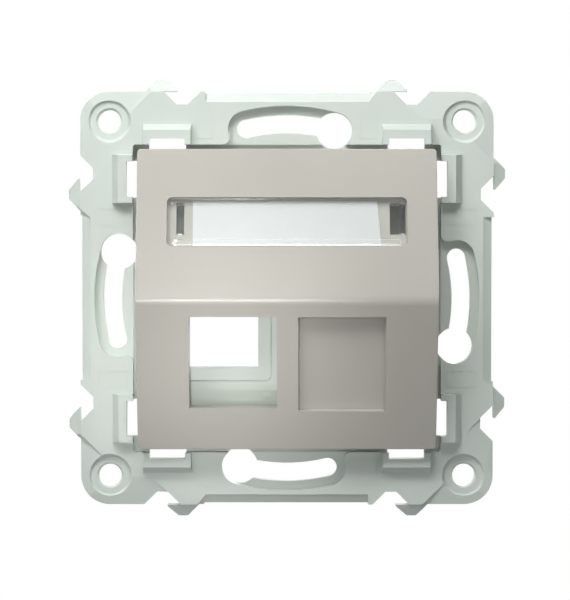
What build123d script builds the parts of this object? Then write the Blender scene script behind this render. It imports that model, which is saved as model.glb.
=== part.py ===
"""Flush keystone socket housing: mounting frame, centre plate, label window, label card and bay blank.

The shapes are modelled as seen from the front: u to the right, v upwards and h forward from the wall, in mm.
The last step stands them up: u becomes X, v becomes Z and h becomes -Y.
"""

import os
from math import asin, atan2, cos, radians, sin, sqrt

from build123d import *

# Clearances.
FIT = 0.05
SLIDE = 0.15
OVER = 1.0

# Heights above the wall.
FLOOR_H = 1.0
PLATE_H = 3.0
SEAT_H = 1.7
BAR_H = 4.6
SKIRT_H = FLOOR_H + FIT
EAVES_H = 6.5
RIDGE_H = 13.5

# Arc slots for the wall-box screws: radius of the screw circle, shank width, head width.
SCREW_CIRCLE = 30.0
SHANK_W = 3.2
HEAD_W = 6.2
SLOT_END = 13.5
KEYHOLE_AT = 15.7
SLOT_RIM = 2.4
SEAT_LIP = 0.25
SEAT_CORNER_R = 1.2
WALL_SLIT = (-2.2, 1.2)
WALL_SLIT_START = 0.3
WALL_SLIT_DEEP = 0.35
WALL_SLIT_ROOF = 0.4

# Outline of the frame, one side of four.
BODY = SCREW_CIRCLE + HEAD_W / 2 + SLOT_RIM
MID_SET_IN = 0.3
MID_SPAN = (-14.0, 14.3)
MID_BAND = 1.75
BAND_END = (14.0, 15.4)
BAND_SET = 0.12
BAND_FALL = 0.4
HEAD_SET = 0.2
HEAD_FALL = 0.4
HOOK_TIPS = (-18.77, 20.6)
HOOK_PROUD = 2.0
HOOK_ROOT = 5.5
HOOK_NOSE = 1.92
HOOK_TIP = 0.22
HOOK_CLEAR = 0.1
HOOK_UNDERCUT = 2.4
HOOK_CREST_R = 0.5
NOTCH_DEEP = 2.2
NOTCH_FLAT = 1.9
CORNER_R = 5.0

# Corner screws.
SCREW_PITCH = 61.0
SCREW_HOLE = 3.9
SEAT_MOUTH = 7.6
SEAT_FLOOR = 6.5
SEAT_DEEP = 0.85
HOLE_BEVEL = 0.3
CORNER_FALL = 0.6
FALL_FROM = 0.3
FALL_CUT = 1.4
FALL_END = 3.0
FALL_EDGE = 0.9

# Opening for the centre plate.
OPENING = 26.45
OPENING_R = 0.4

# Latch bars, two a side, each over its window.
BAR_AT = 20.55
BAR_LONG = 8.15
BAR_LEAN = 0.15
BAR_IN = 27.5
BAR_FLAT = 1.4
BAR_BEVEL = 1.05
BAR_FOOT = 0.25
WINDOW_LONG = 6.1
WINDOW_IN = 25.0
WINDOW_UNDERCUT = 0.12
UNDERCUT_H = PLATE_H + 0.2

# Hairline grooves left by inserts of the mould.
INSERT_AT = 13.95
INSERT_W = 2.9
INSERT_V = (27.4, 32.4)
HAIRLINE = 0.08

# Footprint of the centre plate in its opening.
PLATE_GAP = (1.0, 0.85)
PLATE_U = OPENING - PLATE_GAP[0]
PLATE_V = OPENING - PLATE_GAP[1]
WALL = 2.0

# Rolled bridge behind the centre plate, with two module bays.
BRIDGE_GAP = 0.45
BRIDGE_W = PLATE_U - WALL - BRIDGE_GAP
BRIDGE_CROWN = 3.2
BRIDGE_FLAT = 13.5
BRIDGE_ROLL = 6.5
FLANGE_DROP = 0.4
FLANGE_R = 0.9
FLANGE_SIDE = 2.1
FLANGE_END = 2.2
FLANGE_DRAFT = 35.0
BAY_W = 14.9
BAY_HIGH = 18.8
BAY_FROM_MIDDLE = 4.95
BAY_LOW = -11.8
LIP_T = 1.2
LIP = 0.4
GUIDE_WALL = 1.2
GUIDE_DEEP = 6.0
LATCH_SLIT = (1.5, 2.0)
LATCH_INSET = 3.0
EJECTOR_R = 0.78
EJECTOR = (3.4, -16.7)
MARK_DEEP = 0.05
MARK_W = 0.12

# Centre plate.
SLOPE = (RIDGE_H - EAVES_H) / PLATE_V
PITCH = atan2(RIDGE_H - EAVES_H, PLATE_V)
RIDGE_R = 2.8
PLATE_CORNER_R = 0.6
RIM_R = 0.18
COLLAR = 1.2
OPEN_BAY = {"u": (-16.63, -1.69), "v": (-18.44, -2.73)}
BLANK_BAY = {"u": (1.9, 16.7), "v": (-18.98, -2.78)}

# Snap legs of the centre plate.
LEG_AT = 12.4
LEG_W = 3.6
LEG_T = 1.6
LEG_DEEP = 2.4
CATCH = 0.6
CATCH_T = 0.5
CATCH_POCKET = 0.45

# Label recess, on the upper slope.
LABEL_AT = 13.23
LABEL_W = 40.6
LABEL_HIGH = 8.62
LABEL_R = 0.95
LABEL_DEEP = 1.6
TRAY_FLOOR = 1.0
TRAY_RIM = 1.2
HOOK_SLOT = (1.58, 1.33)
LATCH_SLOT = (0.15, 2.75)
SLOT_HIGH = 5.3
SLOT_UP = 0.7
WINDOW_LIP = 0.5
WINDOW_STEP = 0.2
WINDOW_BORDER = 0.54
WINDOW_BEVEL = 0.66
LEG_HIGH = SLOT_HIGH - 2 * SLIDE
HOOK_T = 0.8
LATCH_T = 1.0
SNAP = 0.6
CARD_T = 0.2
CARD_GAP = 0.01
CARD_LEFT = 4.38
CARD_RIGHT = (4.35, 5.02)
CARD_MARGIN = 0.35

# Blank of the right bay.
BLANK_DEEP = 1.3
BLANK_WALL = 1.2
BLANK_BACK = 4.3
NUB_W = 1.8
NUB_H = (5.1, 6.5)
NUB_PROUD = 0.55


def across(size):
    """The (low, high) pair of a size that is centred."""
    return (-size / 2, size / 2)


def grown(pair, by):
    return (pair[0] - by, pair[1] + by)


def prism(points, low, high):
    """A straight-sided solid over a polygon in the front view."""
    return Pos(0, 0, low) * extrude(Polygon(*points, align=None), high - low, dir=(0, 0, 1))


def block(u, v, h):
    """A box from three (low, high) pairs."""
    size = (u[1] - u[0], v[1] - v[0], h[1] - h[0])
    return Pos(u[0], v[0], h[0]) * Box(*size, align=(Align.MIN,) * 3)


def section_along_u(points, u):
    """A section in v and h, drawn out along u."""
    return extrude(Plane.YZ.offset(u[0]) * Polygon(*points, align=None), u[1] - u[0], dir=(1, 0, 0))


def disc(radius, h):
    return Pos(0, 0, h[0]) * Cylinder(radius, h[1] - h[0], align=(Align.CENTER, Align.CENTER, Align.MIN))


def rounded(u, v, radius, h):
    """A box whose four upright edges are rounded."""
    shape = RectangleRounded(u[1] - u[0], v[1] - v[0], radius)
    return Pos((u[0] + u[1]) / 2, (v[0] + v[1]) / 2, h[0]) * extrude(shape, h[1] - h[0])


def quarter_turns(shape):
    """The same feature on the top, right, bottom and left sides."""
    return [Rot(0, 0, -90 * k) * shape for k in range(4)]


def clock(radius, degrees):
    """The point at a clockwise angle from the top."""
    return radius * sin(radians(degrees)), radius * cos(radians(degrees))


def hook_outline(tip):
    """One hook and the notch it reaches over, from left to right along the top side."""
    rise = tip - HOOK_ROOT
    under = BODY + HOOK_CLEAR
    floor = BODY - NOTCH_DEEP
    notch = tip - HOOK_UNDERCUT + under - floor
    return [
        (rise, BODY),
        (rise + HOOK_PROUD, BODY + HOOK_PROUD),
        (tip - HOOK_NOSE, BODY + HOOK_PROUD),
        (tip, under + HOOK_TIP),
        (tip, under),
        (tip - HOOK_UNDERCUT, under),
        (notch, floor),
        (notch + NOTCH_FLAT, floor),
        (notch + NOTCH_FLAT + NOTCH_DEEP, BODY),
    ]


def frame_outline():
    """The frame's edge: two hooks and two notches a side, all turned clockwise."""
    first, second = HOOK_TIPS
    middle = BODY - MID_SET_IN
    side = hook_outline(first)
    side += [(MID_SPAN[0], BODY), (MID_SPAN[0], middle), (MID_SPAN[1], middle), (MID_SPAN[1], BODY)]
    side += hook_outline(second)
    side.append((BODY, BODY))
    points = []
    for k in range(4):
        turn = radians(-90 * k)
        points += [(u * cos(turn) - v * sin(turn), u * sin(turn) + v * cos(turn)) for u, v in side]
    outline = Polygon(*points, align=None)
    corners = [p for p in outline.vertices() if min(abs(p.X), abs(p.Y)) > BODY - FIT]
    outline = fillet(corners, CORNER_R)
    crest = BODY + HOOK_PROUD
    crests = [p for p in outline.vertices() if max(abs(p.X), abs(p.Y)) > crest - FIT / 10]
    return fillet(crests, HOOK_CREST_R)


def planed_front():
    """What is planed off the front of the top side: middle band, hook heads and the two corner slopes."""
    top = PLATE_H + OVER
    far = BODY + HOOK_PROUD + OVER
    band = BODY - MID_BAND
    face = PLATE_H - BAND_SET
    middle = [(band, top), (band, face), (far, face - BAND_FALL * (far - band)), (far, top)]
    lean = (BAND_END[1] - BAND_END[0]) / MID_BAND
    slant = BAND_END[0] + lean * (far - band)
    ends = [(MID_SPAN[0], band), (BAND_END[0], band), (slant, far), (MID_SPAN[0], far)]
    cuts = [section_along_u(middle, (MID_SPAN[0], BODY)) & prism(ends, 0, top)]
    face = PLATE_H - HEAD_SET
    head = [(BODY, top), (BODY, face), (far, face - HEAD_FALL * (far - BODY)), (far, top)]
    for tip in HOOK_TIPS:
        cuts.append(section_along_u(head, (tip - HOOK_ROOT, tip + OVER)))
    start = SCREW_PITCH / 2 + FALL_FROM
    rate = CORNER_FALL / (BODY - start)
    slope = [(start, top), (start, PLATE_H), (far, PLATE_H - rate * (far - start)), (far, top)]
    ramp = section_along_u(slope, (0, far))
    tip = HOOK_TIPS[1]
    notch = BODY - NOTCH_DEEP
    after_hook = [(tip, notch), (tip + FALL_CUT, notch - FALL_CUT), (tip + FALL_END, start)]
    after_hook += [(far, start), (far, far), (tip, far)]
    cuts.append(ramp & prism(after_hook, 0, top))
    edge_at = HOOK_TIPS[0] - HOOK_ROOT + FALL_EDGE
    before_hook = [(-far, start), (edge_at - BODY + start, start), (edge_at, BODY)]
    before_hook += [(edge_at, far), (-far, far)]
    cuts.append(mirror(ramp, Plane.YZ) & prism(before_hook, 0, top))
    return cuts


def arc_slot():
    """The screw slot of the top side: seat for the head, slot for the shank, keyhole at its end."""
    start = clock(SCREW_CIRCLE, -SLOT_END)
    middle = clock(SCREW_CIRCLE, (KEYHOLE_AT - SLOT_END) / 2)
    end = clock(SCREW_CIRCLE, KEYHOLE_AT)
    path = ThreePointArc(start, middle, end)
    seat = Pos(0, 0, SEAT_H) * extrude(SlotArc(path, HEAD_W), PLATE_H)
    left = start[0] - HEAD_W / 2 + SEAT_LIP
    open_side = [(left, start[1] - SEAT_LIP), start, end, (end[0], OPENING - OVER), (left, OPENING - OVER)]
    seat += prism(open_side, SEAT_H, SEAT_H + PLATE_H)
    corner = (left - SEAT_CORNER_R, OPENING + SEAT_CORNER_R)
    round_off = block((corner[0], left + FIT), (OPENING - OVER, corner[1]), (SEAT_H, SEAT_H + PLATE_H))
    seat += round_off - Pos(*corner, 0) * disc(SEAT_CORNER_R, (0, 2 * PLATE_H))
    slot = Pos(0, 0, -OVER) * extrude(SlotArc(path, SHANK_W), PLATE_H + 2 * OVER)
    keyhole = Pos(end[0], end[1], 0) * disc(HEAD_W / 2, (-OVER, PLATE_H + OVER))
    return [seat, slot, keyhole]


def latch_bar(at):
    """A raised bar with an outer bevel, leaning ends and a post at either end."""
    long = across(BAR_LONG)
    u = (at + long[0], at + long[1])
    flat = BAR_IN + BAR_FLAT
    outer = flat + BAR_BEVEL
    section = [(OPENING, 0), (OPENING, BAR_H), (flat, BAR_H), (outer, PLATE_H + BAR_FOOT), (outer, 0)]
    foot = grown(u, BAR_LEAN)
    front = [(foot[0], 0), (foot[0], PLATE_H), (u[0], BAR_H)]
    front += [(u[1], BAR_H), (foot[1], PLATE_H), (foot[1], 0)]
    ends = extrude(Plane.XZ * Polygon(*front, align=None), BODY, dir=(0, 1, 0))
    return section_along_u(section, foot) & ends


def latch_window(at):
    """The window under a bar, wider behind the bar than at its face."""
    long = across(WINDOW_LONG)
    u = (at + long[0], at + long[1])
    face = block(u, (WINDOW_IN, BAR_IN), (-OVER, BAR_H + OVER))
    behind = block(grown(u, WINDOW_UNDERCUT), (WINDOW_IN, BAR_IN + WINDOW_UNDERCUT), (-OVER, UNDERCUT_H))
    return face + behind


def hairline(at):
    """The fine closed groove round an insert of the mould."""
    edge = across(INSERT_W)
    u = (at + edge[0], at + edge[1])
    outer = block(u, INSERT_V, (PLATE_H - HAIRLINE, PLATE_H + OVER))
    inner = block(grown(u, -HAIRLINE), grown(INSERT_V, -HAIRLINE), (0, PLATE_H + 2 * OVER))
    return outer - inner


def screw_seat():
    """Sunk seat with a sloping wall, and the hole of one corner screw with its bevel."""
    bottom = PLATE_H - SEAT_DEEP
    standing = (Align.CENTER, Align.CENTER, Align.MIN)
    wall = Pos(0, 0, bottom) * Cone(SEAT_FLOOR / 2, SEAT_MOUTH / 2, SEAT_DEEP, align=standing)
    bevel = Cone(SCREW_HOLE / 2, SCREW_HOLE / 2 + HOLE_BEVEL, HOLE_BEVEL, align=standing)
    seat = wall + Pos(0, 0, bottom - HOLE_BEVEL) * bevel
    return seat + disc(SEAT_MOUTH / 2, (PLATE_H, PLATE_H + OVER)) + disc(SCREW_HOLE / 2, (-OVER, PLATE_H))


def bridge_section(grow):
    """The rolled section of the bridge in v and h, and the same grown by a gap."""
    crown = BRIDGE_CROWN + grow
    roll = BRIDGE_ROLL + grow
    turn = asin(sqrt(roll**2 - (roll - crown + FLOOR_H) ** 2) / roll)
    run = BRIDGE_FLAT + roll * sin(turn)
    knee = (BRIDGE_FLAT + roll * sin(turn / 2), crown - roll * (1 - cos(turn / 2)))
    edges = [
        Line((-run, 0), (-run, FLOOR_H)),
        ThreePointArc((-run, FLOOR_H), (-knee[0], knee[1]), (-BRIDGE_FLAT, crown)),
        Line((-BRIDGE_FLAT, crown), (BRIDGE_FLAT, crown)),
        ThreePointArc((BRIDGE_FLAT, crown), knee, (run, FLOOR_H)),
        Line((run, FLOOR_H), (run, 0)),
        Line((run, 0), (-run, 0)),
    ]
    return make_face(Curve() + edges)


def bridge(width, grow=0.0):
    return extrude(Plane.YZ.offset(-width) * bridge_section(grow), 2 * width, dir=(1, 0, 0))


def module_bay(side):
    """Opening, sunk flange and guide of the left (-1) or right (1) module bay."""
    u = sorted((side * BAY_FROM_MIDDLE, side * (BAY_FROM_MIDDLE + BAY_W)))
    v = (BAY_LOW, BAY_LOW + BAY_HIGH)
    floor = RectangleRounded(BAY_W + 2 * FLANGE_SIDE, BAY_HIGH + 2 * FLANGE_END, FLANGE_R)
    place = Pos(sum(u) / 2, sum(v) / 2, BRIDGE_CROWN - FLANGE_DROP)
    flange = place * extrude(floor, FLANGE_DROP, taper=-FLANGE_DRAFT)
    guide = block(grown(u, LIP + GUIDE_WALL), grown(v, LIP + GUIDE_WALL), (-GUIDE_DEEP, FLOOR_H))
    opening = block(u, v, (-GUIDE_DEEP - OVER, BRIDGE_CROWN + OVER))
    behind = block(grown(u, LIP), grown(v, LIP), (-GUIDE_DEEP - OVER, BRIDGE_CROWN - FLANGE_DROP - LIP_T))
    slit_h = (-GUIDE_DEEP + LATCH_SLIT[0], -GUIDE_DEEP + LATCH_SLIT[0] + LATCH_SLIT[1])
    slits = block(grown(u, -LATCH_INSET), grown(v, LIP + GUIDE_WALL + OVER), slit_h)
    return guide, [flange, opening, behind, slits]


def ejector_ring(side):
    """The fine round line that an ejector pin leaves on the roll."""
    ring = disc(EJECTOR_R, (0, BRIDGE_CROWN + OVER)) - disc(EJECTOR_R - MARK_W, (0, BRIDGE_CROWN + OVER))
    return Pos(side * EJECTOR[0], EJECTOR[1], 0) * ring - bridge(BRIDGE_W, -MARK_DEEP)


def mounting_frame():
    body = extrude(frame_outline(), PLATE_H, dir=(0, 0, 1))
    for shape in planed_front():
        for cut in quarter_turns(shape):
            body -= cut
    body -= rounded(grown((0, 0), OPENING), grown((0, 0), OPENING), OPENING_R, (FLOOR_H, PLATE_H + OVER))
    for shape in arc_slot():
        for cut in quarter_turns(shape):
            body -= cut
    slit_v = SCREW_CIRCLE + HEAD_W / 2
    slit = (slit_v - WALL_SLIT_START, slit_v + WALL_SLIT_DEEP)
    body -= block(WALL_SLIT, slit, (SEAT_H, PLATE_H - WALL_SLIT_ROOF))
    for at in (-BAR_AT, BAR_AT):
        for bar in quarter_turns(latch_bar(at)):
            body += bar
        for window in quarter_turns(latch_window(at)):
            body -= window
    for at in (-INSERT_AT, INSERT_AT):
        for groove in quarter_turns(hairline(at)):
            body -= groove
    for seat in quarter_turns(Pos(SCREW_PITCH / 2, SCREW_PITCH / 2, 0) * screw_seat()):
        body -= seat
    body += bridge(BRIDGE_W)
    for side in (-1, 1):
        guide, cuts = module_bay(side)
        body += guide
        for cut in cuts:
            body -= cut
        body -= ejector_ring(side)
    for hole in snap_holes():
        body -= hole
    return body


def leg_faces():
    """Inner and outer v of a snap leg, which hangs inside the skirt."""
    outer = PLATE_V - WALL + 2 * FIT
    return outer - LEG_T, outer


def snap_holes():
    """Slots in the floor for the snap legs, each with a pocket behind it for the catch."""
    low, high = leg_faces()
    wide = across(LEG_W + 2 * SLIDE)
    holes = []
    for at in (-LEG_AT, LEG_AT):
        for side in (-1, 1):
            u = (at + wide[0], at + wide[1])
            slot = sorted((side * (low - CATCH - SLIDE), side * (high + SLIDE)))
            pocket = sorted((side * low, side * (high + CATCH + SLIDE)))
            holes.append(block(u, slot, (-OVER, FLOOR_H + OVER)))
            holes.append(block(u, pocket, (-OVER, CATCH_POCKET)))
    return holes


def snap_leg(at, side):
    """A leg inside the skirt, with its catch behind the floor of the frame."""
    low, high = leg_faces()
    catch = CATCH_POCKET - FIT
    points = [
        (low, SKIRT_H + LEG_W),
        (high, SKIRT_H + LEG_W),
        (high, catch),
        (high + CATCH, catch),
        (high + CATCH, catch - CATCH_T),
        (high, -LEG_DEEP),
        (low, -LEG_DEEP),
    ]
    wide = across(LEG_W)
    leg = section_along_u(points, (at + wide[0], at + wide[1]))
    return leg if side > 0 else mirror(leg, Plane.XZ)


def roof(inset):
    """The roof-shaped body of the centre plate, set in by a wall thickness all round."""
    u = PLATE_U - inset
    v = PLATE_V - inset
    ridge = RIDGE_H - inset / cos(PITCH)
    eaves = ridge - SLOPE * v
    foot = SKIRT_H - (OVER if inset else 0)
    shape = section_along_u([(-v, foot), (-v, eaves), (0, ridge), (v, eaves), (v, foot)], (-u, u))
    crest = shape.edges().filter_by(Axis.X).sort_by(Axis.Z)[-1:]
    return fillet(crest, RIDGE_R - inset / 2)


def outer_body():
    """The solid roof with rounded upright corners and a fine rounded rim."""
    body = fillet(roof(0).edges().filter_by(Axis.Z), PLATE_CORNER_R)
    top = body.faces().filter_by(lambda f: f.normal_at().Z > 0.5)
    upper = [e for e in body.edges() if e.center().Z > EAVES_H - OVER]
    rim = [e for e in upper if len([f for f in top if e in f.edges()]) == 1]
    return fillet(rim, RIM_R)


def label_place():
    """Where the label lies: x along the ridge, y down the upper slope, z out of it."""
    origin = (0, LABEL_AT, RIDGE_H - SLOPE * LABEL_AT)
    return Plane(origin=origin, x_dir=(1, 0, 0), z_dir=(0, sin(PITCH), cos(PITCH))).location


def label_slots():
    """The hook slot at the left and the latch slot at the right, as (low, high) pairs along the label."""
    edge = LABEL_W / 2
    hook = (-edge + HOOK_SLOT[0], -edge + HOOK_SLOT[0] + HOOK_SLOT[1])
    latch = (edge - LATCH_SLOT[0] - LATCH_SLOT[1], edge - LATCH_SLOT[0])
    return hook, latch


def bay_box(bay, grow, h):
    return block(grown(bay["u"], grow), grown(bay["v"], grow), h)


def nub_windows():
    """The two windows in the collar of the right bay that hold the blank."""
    middle = sum(BLANK_BAY["u"]) / 2
    u = (middle - NUB_W / 2 - SLIDE, middle + NUB_W / 2 + SLIDE)
    h = grown(NUB_H, FIT)
    low, high = BLANK_BAY["v"]
    return [block(u, (low - COLLAR - FIT, low + FIT), h), block(u, (high - FIT, high + COLLAR + FIT), h)]


def centre_plate():
    body = outer_body() - roof(WALL)
    place = label_place()
    standing = (Align.CENTER, Align.CENTER, Align.MIN)
    hanging = (Align.CENTER, Align.CENTER, Align.MAX)
    tray = Box(LABEL_W + 2 * TRAY_RIM, LABEL_HIGH + 2 * TRAY_RIM, LABEL_DEEP, align=standing)
    body += place * Pos(0, 0, -LABEL_DEEP - TRAY_FLOOR) * tray
    over_bridge = bridge(PLATE_U, SLIDE)
    for bay in (OPEN_BAY, BLANK_BAY):
        under_roof = bay_box(bay, COLLAR, (FLOOR_H + SLIDE, RIDGE_H)) & roof(WALL / 2)
        body += under_roof - over_bridge
    recess = extrude(RectangleRounded(LABEL_W, LABEL_HIGH, LABEL_R), LABEL_DEEP + OVER)
    body -= place * Pos(0, 0, -LABEL_DEEP) * recess
    for low, high in label_slots():
        hole = Box(high - low, SLOT_HIGH, LABEL_DEEP + TRAY_FLOOR + OVER, align=hanging)
        body -= place * Pos((low + high) / 2, SLOT_UP, 0) * hole
    for bay in (OPEN_BAY, BLANK_BAY):
        body -= bay_box(bay, 0, (0, RIDGE_H + OVER))
    for window in nub_windows():
        body -= window
    for at in (-LEG_AT, LEG_AT):
        for side in (-1, 1):
            body += snap_leg(at, side)
    return body


def label_window():
    """The clear cover of the label: stepped bevel all round, a hook at the left, a latch at the right."""
    thick = LABEL_DEEP - CARD_T - 2 * CARD_GAP
    wide, high = LABEL_W - 2 * FIT, LABEL_HIGH - 2 * FIT
    body = Pos(0, 0, -thick) * extrude(RectangleRounded(wide, high, LABEL_R - FIT), thick - WINDOW_LIP)
    border = 2 * WINDOW_BORDER
    inset = border + 2 * WINDOW_BEVEL
    lower = Plane.XY.offset(-WINDOW_LIP) * RectangleRounded(wide - border, high - border, LABEL_R / 2)
    panel = RectangleRounded(wide - inset, high - inset, LABEL_R / 2)
    body += loft([lower, Plane.XY.offset(-WINDOW_STEP) * panel])
    body += Pos(0, 0, -WINDOW_STEP) * extrude(panel, WINDOW_STEP)
    hook_slot, latch_slot = label_slots()
    under = -LABEL_DEEP - TRAY_FLOOR
    tall = (SLOT_UP - LEG_HIGH / 2, SLOT_UP + LEG_HIGH / 2)
    root = -thick + WINDOW_LIP / 2
    hook_u = (hook_slot[0] + 2 * FIT, hook_slot[0] + 2 * FIT + HOOK_T)
    body += block(hook_u, tall, (under - SNAP, root))
    body += block((hook_u[0] - SNAP, hook_u[1]), tall, (under - SNAP, under - FIT))
    latch_u = (latch_slot[1] - SLIDE - LATCH_T, latch_slot[1] - SLIDE)
    body += block(latch_u, tall, (under - 2 * SNAP, root))
    body += block((latch_u[0], latch_u[1] + SNAP), tall, (under - SNAP, under - FIT))
    return label_place() * body


def label_card():
    """The paper strip under the window, with its slanted right end."""
    edge = LABEL_W / 2
    low, high = across(LABEL_HIGH - 2 * CARD_MARGIN)
    left = CARD_LEFT - edge
    points = [(left, low), (edge - CARD_RIGHT[0], low), (edge - CARD_RIGHT[1], high), (left, high)]
    return label_place() * prism(points, -LABEL_DEEP, CARD_T - LABEL_DEEP)


def blank_insert():
    """The sunk blank that closes the right bay, hollow from behind."""
    face = RIDGE_H - BLANK_DEEP / cos(PITCH)
    back = face - BLANK_WALL / cos(PITCH)
    under_face = [(0, 0), (0, face), (-PLATE_V, face - SLOPE * PLATE_V), (-PLATE_V, 0)]
    under_back = [(0, 0), (0, back), (-PLATE_V, back - SLOPE * PLATE_V), (-PLATE_V, 0)]
    body = bay_box(BLANK_BAY, -FIT, (BLANK_BACK, RIDGE_H)) & section_along_u(under_face, (0, PLATE_U))
    body -= bay_box(BLANK_BAY, -FIT - BLANK_WALL, (0, RIDGE_H)) & section_along_u(under_back, (0, PLATE_U))
    middle = sum(BLANK_BAY["u"]) / 2
    u = (middle - NUB_W / 2, middle + NUB_W / 2)
    low, high = BLANK_BAY["v"]
    body += block(u, (low - NUB_PROUD, low + BLANK_WALL), NUB_H)
    body += block(u, (high - BLANK_WALL, high + NUB_PROUD), NUB_H)
    return body


os.makedirs("parts", exist_ok=True)
NODES = {
    "mounting_frame": mounting_frame(),
    "centre_plate": centre_plate(),
    "label_window": label_window(),
    "label_card": label_card(),
    "blank_insert": blank_insert(),
}
for name, shape in NODES.items():
    export_step(Plane.XZ.location * shape, f"parts/{name}.step")
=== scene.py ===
"""Looks of the keystone socket housing: materials, edge rounding, lights and camera."""

import math

import bmesh
import bpy
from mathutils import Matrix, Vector


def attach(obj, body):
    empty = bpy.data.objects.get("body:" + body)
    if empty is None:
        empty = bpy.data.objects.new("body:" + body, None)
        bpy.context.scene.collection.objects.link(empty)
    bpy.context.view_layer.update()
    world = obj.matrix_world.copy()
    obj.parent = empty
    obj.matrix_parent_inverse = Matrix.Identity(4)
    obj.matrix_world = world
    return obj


MM = 0.001
WHITE = (1, 1, 1, 1)

# Rounding of the moulded edges; a bend of up to SMOOTH_BEND degrees is left as it is.
FRAME_ROUNDING = 0.15 * MM
WINDOW_ROUNDING = 0.08 * MM
ROUNDING_STEPS = 2
SMOOTH_BEND = 28
WELD_REACH = 0.002 * MM

# The roof of the centre plate, in millimetres: ridge, eaves and the half width between them.
RIDGE_H = 13.5
EAVES_H = 6.5
HALF_W = 25.6

# The blanked bay on the lower slope, in millimetres. Its edge walls start TRIM_TOP below the
# slope, lean in by TRIM_RUN and end TRIM_FOOT above the depth BLANK_SUNK.
BAY_LEFT = 1.91
BAY_RIGHT = 16.69
BAY_LOW = -18.97
BAY_HIGH = -2.79
TRIM_RUN = 0.26
TRIM_TOP = 0.03
BLANK_SUNK = 1.35
TRIM_FOOT = 0.004

# The floor, in metres and as a linear grey, and the dim light of the room.
FLOOR_REACH = 6.0
FLOOR_Z = -0.45
FLOOR_GREY = 0.3
ROOM_TINT = (0.9, 0.95, 1, 1)
ROOM_STRENGTH = 0.02

# The camera: a long lens a little above the housing, aimed just off its origin.
LENS = 138.6
SENSOR = 36
DISTANCE = 0.4
TILT = math.radians(2.0)
AIM = Vector((-0.33 * MM, 0, -0.32 * MM))

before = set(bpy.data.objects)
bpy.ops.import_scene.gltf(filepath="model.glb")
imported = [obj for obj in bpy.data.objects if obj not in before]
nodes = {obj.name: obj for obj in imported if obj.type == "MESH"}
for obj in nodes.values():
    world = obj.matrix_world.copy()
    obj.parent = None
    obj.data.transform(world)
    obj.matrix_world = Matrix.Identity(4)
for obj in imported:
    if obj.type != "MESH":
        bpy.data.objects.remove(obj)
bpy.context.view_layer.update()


def linear(*srgb):
    """sRGB numbers from 0 to 255 as a linear colour."""
    out = []
    for value in srgb:
        c = value / 255
        out.append(c / 12.92 if c <= 0.04045 else ((c + 0.055) / 1.055) ** 2.4)
    return (*out, 1.0)


def put(name, data):
    """Adds an object with this mesh, lamp or camera to the scene."""
    piece = bpy.data.objects.new(name, data)
    bpy.context.collection.objects.link(piece)
    return piece


class Graph:
    """Builds the node tree of one material or world."""

    def __init__(self, owner):
        self.owner = owner
        owner.use_nodes = True
        self.tree = owner.node_tree
        self.tree.nodes.clear()

    def add(self, kind, inputs=None, **settings):
        """Adds a node; an input that is a socket is linked, any other is set."""
        node = self.tree.nodes.new(kind)
        for key, value in settings.items():
            setattr(node, key, value)
        for key, value in (inputs or {}).items():
            if isinstance(value, bpy.types.NodeSocket):
                self.tree.links.new(value, node.inputs[key])
            else:
                node.inputs[key].default_value = value
        return node

    def noise(self, scale, detail, stretch=(1, 1, 1)):
        where = self.add("ShaderNodeTexCoord").outputs["Object"]
        mapping = self.add("ShaderNodeMapping", {"Vector": where, "Scale": stretch})
        inputs = {"Vector": mapping.outputs["Vector"], "Scale": scale, "Detail": detail}
        return self.add("ShaderNodeTexNoise", inputs).outputs["Fac"]

    def span(self, source, low, high, bottom=0.3, top=0.7):
        """Stretches source from bottom and top to low and high."""
        inputs = {"Value": source, "To Min": low, "To Max": high}
        inputs.update({"From Min": bottom, "From Max": top})
        return self.add("ShaderNodeMapRange", inputs).outputs["Result"]

    def mix(self, factor, first, second):
        """Mixes two colours; 0, 6, 7 and 2 are the node's factor and colour sockets."""
        inputs = {0: factor, 6: first, 7: second}
        return self.add("ShaderNodeMix", inputs, data_type="RGBA").outputs[2]

    def bump(self, height, distance, strength):
        """The normal of a fine relief, its distance in metres."""
        inputs = {"Height": height, "Distance": distance, "Strength": strength}
        return self.add("ShaderNodeBump", inputs).outputs["Normal"]

    def principled(self, inputs):
        return self.add("ShaderNodeBsdfPrincipled", inputs).outputs["BSDF"]

    def rays(self, *kinds):
        """1 for rays of any of these kinds, 0 for all others."""
        path = self.add("ShaderNodeLightPath")
        any_kind = path.outputs[kinds[0]]
        for kind in kinds[1:]:
            inputs = {0: any_kind, 1: path.outputs[kind]}
            larger = self.add("ShaderNodeMath", inputs, operation="MAXIMUM")
            any_kind = larger.outputs["Value"]
        return any_kind

    def seen_rays(self):
        """1 for what the camera sees directly, in a reflection or through clear plastic."""
        return self.rays("Is Camera Ray", "Is Glossy Ray", "Is Transmission Ray")

    def either(self, factor, first, second):
        """Mixes two shaders."""
        inputs = {0: factor, 1: first, 2: second}
        return self.add("ShaderNodeMixShader", inputs).outputs["Shader"]

    def finish(self, shader, output="ShaderNodeOutputMaterial"):
        self.add(output, {"Surface": shader})
        return self.owner


def moulded_plastic(name, dark, light, roughness, spread, grain, shine):
    """Injection-moulded plastic: faint cloudy tone, flow streaks and a fine spark-eroded grain."""
    g = Graph(bpy.data.materials.new(name))
    cloud = g.span(g.noise(55, 3), 0, 1)
    streak = g.span(g.noise(160, 2, (1, 1, 0.25)), 0, 1)
    tone = g.mix(cloud, dark, light)
    tone = g.mix(g.span(streak, 0.0, 0.12, 0, 1), tone, light)
    fine = g.noise(5200, 2)
    inputs = {
        "Base Color": tone,
        "Roughness": g.span(g.noise(70, 1), roughness - spread, roughness + spread),
        "Normal": g.bump(fine, grain, 0.4),
        "IOR": 1.5,
        "Specular IOR Level": shine,
    }
    return g.finish(g.principled(inputs))


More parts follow.
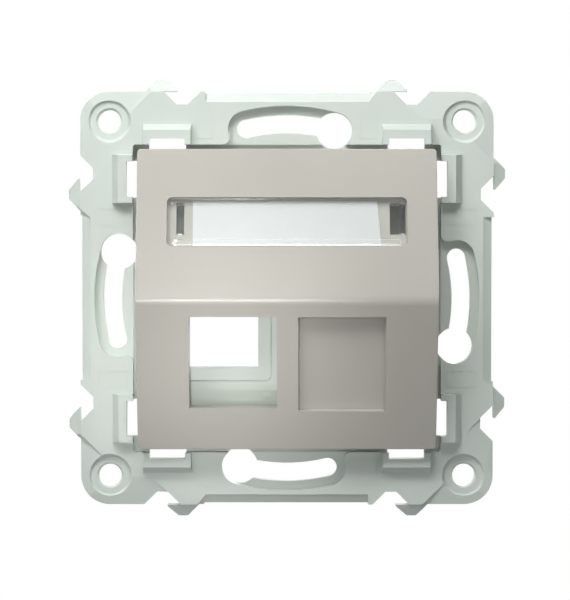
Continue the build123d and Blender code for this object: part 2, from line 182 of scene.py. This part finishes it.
def clear_plastic():
    """Clear acrylic that lets light straight through to the card, with faint polish marks."""
    g = Graph(bpy.data.materials.new("clear_acrylic"))
    scratch = g.noise(2600, 3, (1, 1, 6))
    cloud = g.span(g.noise(90, 2), 0, 1)
    inputs = {
        "Base Color": g.mix(cloud, linear(249, 252, 251), linear(253, 254, 254)),
        "Roughness": g.span(g.noise(400, 2), 0.03, 0.08),
        "Normal": g.bump(scratch, 0.0005 * MM, 0.1),
        "IOR": 1.49,
        "Transmission Weight": 1.0,
        "Specular IOR Level": 0.3,
    }
    solid = g.principled(inputs)
    through = g.add("ShaderNodeBsdfTransparent", {"Color": (0.96, 0.97, 0.965, 1)})
    lighting = g.rays("Is Shadow Ray", "Is Diffuse Ray")
    return g.finish(g.either(lighting, solid, through.outputs["BSDF"]))


def paper():
    """Smooth white card with short fibres."""
    g = Graph(bpy.data.materials.new("label_paper"))
    fibre = g.noise(2600, 4)
    inputs = {
        "Base Color": g.mix(g.span(fibre, 0, 1), linear(221, 222, 222), linear(225, 226, 226)),
        "Roughness": g.span(g.noise(700, 2), 0.75, 0.9),
        "Normal": g.bump(fibre, 0.006 * MM, 0.4),
        "IOR": 1.4,
    }
    return g.finish(g.principled(inputs))


def dress(name, material, rounding=None):
    """Gives a CAD node its material and, where asked, its small rounded edges."""
    piece = nodes[name]
    piece.data.materials.clear()
    piece.data.materials.append(material)
    if rounding:
        weld = piece.modifiers.new("weld", "WELD")
        weld.merge_threshold = WELD_REACH
        edge = piece.modifiers.new("edge", "BEVEL")
        edge.width = rounding
        edge.segments = ROUNDING_STEPS
        edge.limit_method = "ANGLE"
        edge.angle_limit = math.radians(SMOOTH_BEND)
        edge.harden_normals = True
        edge.use_clamp_overlap = True


frame_tones = (linear(206, 214, 207), linear(212, 220, 213))
plate_tones = (linear(181, 178, 170), linear(185, 182, 174))
frame_plastic = moulded_plastic("frame_plastic", *frame_tones, 0.42, 0.03, 0.014 * MM, 0.3)
plate_plastic = moulded_plastic("plate_plastic", *plate_tones, 0.3, 0.015, 0.004 * MM, 0.4)

dress("mounting_frame", frame_plastic, FRAME_ROUNDING)
dress("centre_plate", plate_plastic)
dress("blank_insert", plate_plastic)
dress("label_window", clear_plastic(), WINDOW_ROUNDING)
dress("label_card", paper())


def bay_loop(inset, drop):
    """Four points round the bay, this far in from its edge and this far below the slope."""
    slope = (RIDGE_H - EAVES_H) / HALF_W
    left, right = BAY_LEFT + inset, BAY_RIGHT - inset
    low, high = BAY_LOW + inset, BAY_HIGH - inset
    corners = ((left, low), (right, low), (right, high), (left, high))
    return [(u * MM, -(RIDGE_H + slope * v - drop) * MM, v * MM) for u, v in corners]


def blank_trim():
    """The drafted edge of the sunk bay: leaning walls that run from the slope down to the blank."""
    top = bay_loop(0, TRIM_TOP)
    foot = bay_loop(0, BLANK_SUNK)
    inner = bay_loop(TRIM_RUN, BLANK_SUNK - TRIM_FOOT)
    faces = []
    for a in range(4):
        b = (a + 1) % 4
        faces += [(a, b, 8 + b, 8 + a), (a, 4 + a, 4 + b, b), (4 + a, 8 + a, 8 + b, 4 + b)]
    mesh = bpy.data.meshes.new("blank_trim")
    mesh.from_pydata(top + foot + inner, [], faces)
    shape = bmesh.new()
    shape.from_mesh(mesh)
    bmesh.ops.recalc_face_normals(shape, faces=shape.faces)
    shape.to_mesh(mesh)
    shape.free()
    mesh.materials.append(plate_plastic)
    trim = put("blank_trim", mesh)
    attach(trim, "root")


def floor():
    """A plain floor below the housing, white where it is seen and grey as a source of light."""
    g = Graph(bpy.data.materials.new("floor"))
    pale = g.add("ShaderNodeBsdfDiffuse", {"Color": (FLOOR_GREY, FLOOR_GREY, FLOOR_GREY, 1)})
    plain = g.add("ShaderNodeEmission", {"Color": WHITE, "Strength": 1.0})
    shader = g.either(g.seen_rays(), pale.outputs["BSDF"], plain.outputs["Emission"])
    mesh = bpy.data.meshes.new("floor")
    turns = ((-1, -1), (1, -1), (1, 1), (-1, 1))
    corners = [(x * FLOOR_REACH, y * FLOOR_REACH, FLOOR_Z) for x, y in turns]
    mesh.from_pydata(corners, [], [(0, 1, 2, 3)])
    mesh.materials.append(g.finish(shader))
    piece = put("floor", mesh)


def surroundings():
    """White where it is seen, and a dim room for all other light."""
    world = bpy.data.worlds.new("surroundings")
    bpy.context.scene.world = world
    g = Graph(world)
    room = g.add("ShaderNodeBackground", {"Color": ROOM_TINT, "Strength": ROOM_STRENGTH})
    seen = g.add("ShaderNodeBackground", {"Color": WHITE, "Strength": 1.0})
    backgrounds = room.outputs["Background"], seen.outputs["Background"]
    g.finish(g.either(g.seen_rays(), *backgrounds), "ShaderNodeOutputWorld")


def place_lamp(name, lamp, place, target, power):
    """Puts a lamp of this power at a place and turns it to its target."""
    lamp.energy = power
    piece = put(name, lamp)
    piece.location = place
    aim = Vector(target) - Vector(place)
    piece.rotation_euler = aim.to_track_quat("-Z", "Y").to_euler()


def area_light(name, place, size, power):
    """A rectangular soft box aimed at the middle of the housing."""
    lamp = bpy.data.lights.new(name, "AREA")
    lamp.shape = "RECTANGLE"
    lamp.size, lamp.size_y = size
    place_lamp(name, lamp, place, (0, 0, 0), power)


def spot_light(name, place, target, angle, power):
    """A soft narrow spot, its angle in degrees."""
    lamp = bpy.data.lights.new(name, "SPOT")
    lamp.spot_size = math.radians(angle)
    lamp.spot_blend = 1.0
    lamp.shadow_soft_size = 0.02
    place_lamp(name, lamp, place, target, power)


def camera():
    """The long lens in front of the housing."""
    lens = bpy.data.cameras.new("camera")
    lens.lens = LENS
    lens.sensor_width = SENSOR
    lens.clip_start = 0.01
    lens.clip_end = 10
    eye = put("camera", lens)
    eye.location = AIM + DISTANCE * Vector((0, -math.cos(TILT), math.sin(TILT)))
    eye.rotation_euler = (math.radians(90) - TILT, 0, 0)
    bpy.context.scene.camera = eye


blank_trim()
floor()
area_light("near_top", (-0.02, -0.13, 0.18), (0.18, 0.06), 0.37)
area_light("grazing_top", (-0.1, -0.07, 0.3), (0.3, 0.06), 0.09)
area_light("near_left", (-0.13, -0.15, 0.15), (0.1, 0.1), 0.17)
area_light("low_left", (-0.4, -0.6, -0.25), (0.25, 0.25), 0.8)
area_light("low_right", (0.35, -0.6, -0.2), (0.25, 0.25), 0.34)
area_light("right", (0.35, -0.45, 0.1), (0.2, 0.2), 0.2)
area_light("behind", (0.25, 0.5, 0.3), (0.4, 0.4), 3.4)
area_light("side_left", (-0.45, 0.22, 0.1), (0.2, 0.2), 1.5)
area_light("side_right", (0.45, 0.22, 0.1), (0.2, 0.2), 1.5)
spot_light("bay_spot", (-0.02, -0.45, 0), (-0.012, 0, -0.01), 5, 8.4)
surroundings()
camera()

bpy.context.scene.view_settings.view_transform = "Standard"
